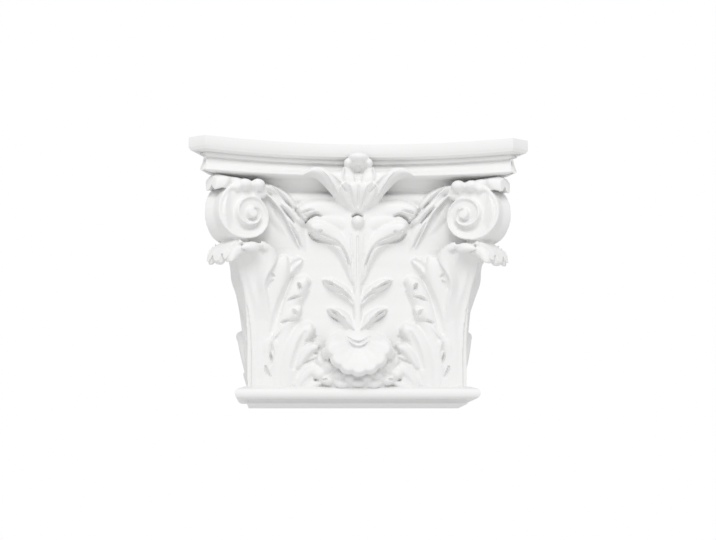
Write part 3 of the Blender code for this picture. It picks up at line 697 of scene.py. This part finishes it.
class Finish:
    """The nodes of a material or a sky under construction, and the shader that they feed."""

    def __init__(self, owner, shader="Principled BSDF"):
        owner.use_nodes = True
        self.owner, self.tree = owner, owner.node_tree
        self.shader = self.tree.nodes[shader]

    def put(self, value, slot):
        if isinstance(value, Wire):
            self.tree.links.new(value.socket, slot)
        else:
            slot.default_value = value

    def node(self, kind, settings=None, out=0, numbered=(), **named):
        made = self.tree.nodes.new(kind)
        for key, value in (settings or {}).items():
            setattr(made, key, value)
        for place, value in numbered:
            self.put(value, made.inputs[place])
        for name, value in named.items():
            self.put(value, made.inputs[name])
        return Wire(self.tree, made.outputs[out])

    def feed(self, name, value):
        self.put(value, self.shader.inputs[name])


cast = Finish(bpy.data.materials.new("white_cast"))
where = cast.node('ShaderNodeTexCoord', out=3)
cloud = cast.node('ShaderNodeTexNoise', Vector=where, Scale=14.0, Detail=3.0)
grain = cast.node('ShaderNodeTexNoise', Vector=where, Scale=420.0, Detail=2.0)
cast.feed("Base Color", cast.node('ShaderNodeMix', {"data_type": 'RGBA'}, out=2, numbered=(
    (0, cloud * 0.8), (6, (0.86, 0.86, 0.855, 1)), (7, (0.885, 0.885, 0.88, 1)))))
cast.feed("Roughness", cloud * 0.12 + 0.5)
cast.feed("Specular IOR Level", 0.35)
cast.feed("Normal", cast.node('ShaderNodeBump', Strength=0.12, Distance=0.0004, Height=grain + cloud * 0.5))
capital.data.materials.clear()
capital.data.materials.append(cast.owner)
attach(capital, "root")
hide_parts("capital")


# A pale studio: a wide round sheet of paper well below the capital, a bright white surround and one soft
# lamp. The paper lies loose under the lamp, which hangs in front and above.
FLOOR_RADIUS, FLOOR_Z = 2.0, -0.32
shape = bmesh.new()
bmesh.ops.create_circle(shape, cap_ends=True, segments=64, radius=FLOOR_RADIUS)
bmesh.ops.translate(shape, verts=shape.verts[:], vec=(0, 0, FLOOR_Z))
mesh = bpy.data.meshes.new("floor")
shape.to_mesh(mesh)
shape.free()
floor = bpy.data.objects.new("floor", mesh)
bpy.context.scene.collection.objects.link(floor)
paper = Finish(bpy.data.materials.new("paper"))
paper.feed("Base Color", (0.86, 0.86, 0.86, 1))
paper.feed("Roughness", 0.9)
floor.data.materials.append(paper.owner)

SURROUND = 0.7
studio = Finish(bpy.data.worlds.new("studio"), "Background")
seen = studio.node('ShaderNodeLightPath')
studio.feed("Strength", studio.node('ShaderNodeMapRange', Value=seen, **{"To Min": SURROUND}))
studio.feed("Color", (1, 1, 1, 1))
bpy.context.scene.world = studio.owner

LAMP_AT, LAMP_AIM, LAMP_SIZE, LAMP_POWER = Vector((-0.15, -1.8, 1.5)), Vector((0, 0, 0.13)), 1.2, 19.5
light = bpy.data.lights.new("key", 'AREA')
light.shape = 'DISK'
light.size = LAMP_SIZE
light.energy = LAMP_POWER
lamp = bpy.data.objects.new("key", light)
aim = (LAMP_AIM - LAMP_AT).to_track_quat('-Z', 'Y')
lamp.matrix_world = Matrix.Translation(LAMP_AT) @ aim.to_matrix().to_4x4()
bpy.context.scene.collection.objects.link(lamp)


# The camera stands a little below the capital's foot and looks up at it, turned a trace to the right.
# Its place, its turn and its lens were fitted to the edges of the abacus and the neck.
CAMERA_AT, FOCAL, PICTURE_WIDE = (-0.0757, -1.4347, -0.0869), 1400, 716
yaw, pitch, roll = math.radians(3.07), math.radians(8.95), math.radians(-0.19)
level_right = Vector((math.cos(yaw), -math.sin(yaw), 0))
level_ahead = Vector((math.sin(yaw), math.cos(yaw), 0))
up_axis = Vector((0, 0, 1))
ahead = level_ahead * math.cos(pitch) + up_axis * math.sin(pitch)
above = up_axis * math.cos(pitch) - level_ahead * math.sin(pitch)
right_hand = level_right * math.cos(roll) + above * math.sin(roll)
head = above * math.cos(roll) - level_right * math.sin(roll)
lens = bpy.data.cameras.new("camera")
lens.sensor_width = 36.0
lens.lens = lens.sensor_width * FOCAL / PICTURE_WIDE
camera = bpy.data.objects.new("camera", lens)
turned = Matrix((right_hand, head, -ahead)).transposed()
camera.matrix_world = Matrix.Translation(CAMERA_AT) @ turned.to_4x4()
bpy.context.scene.collection.objects.link(camera)
bpy.context.scene.camera = camera
bpy.context.scene.view_settings.view_transform = 'Standard'
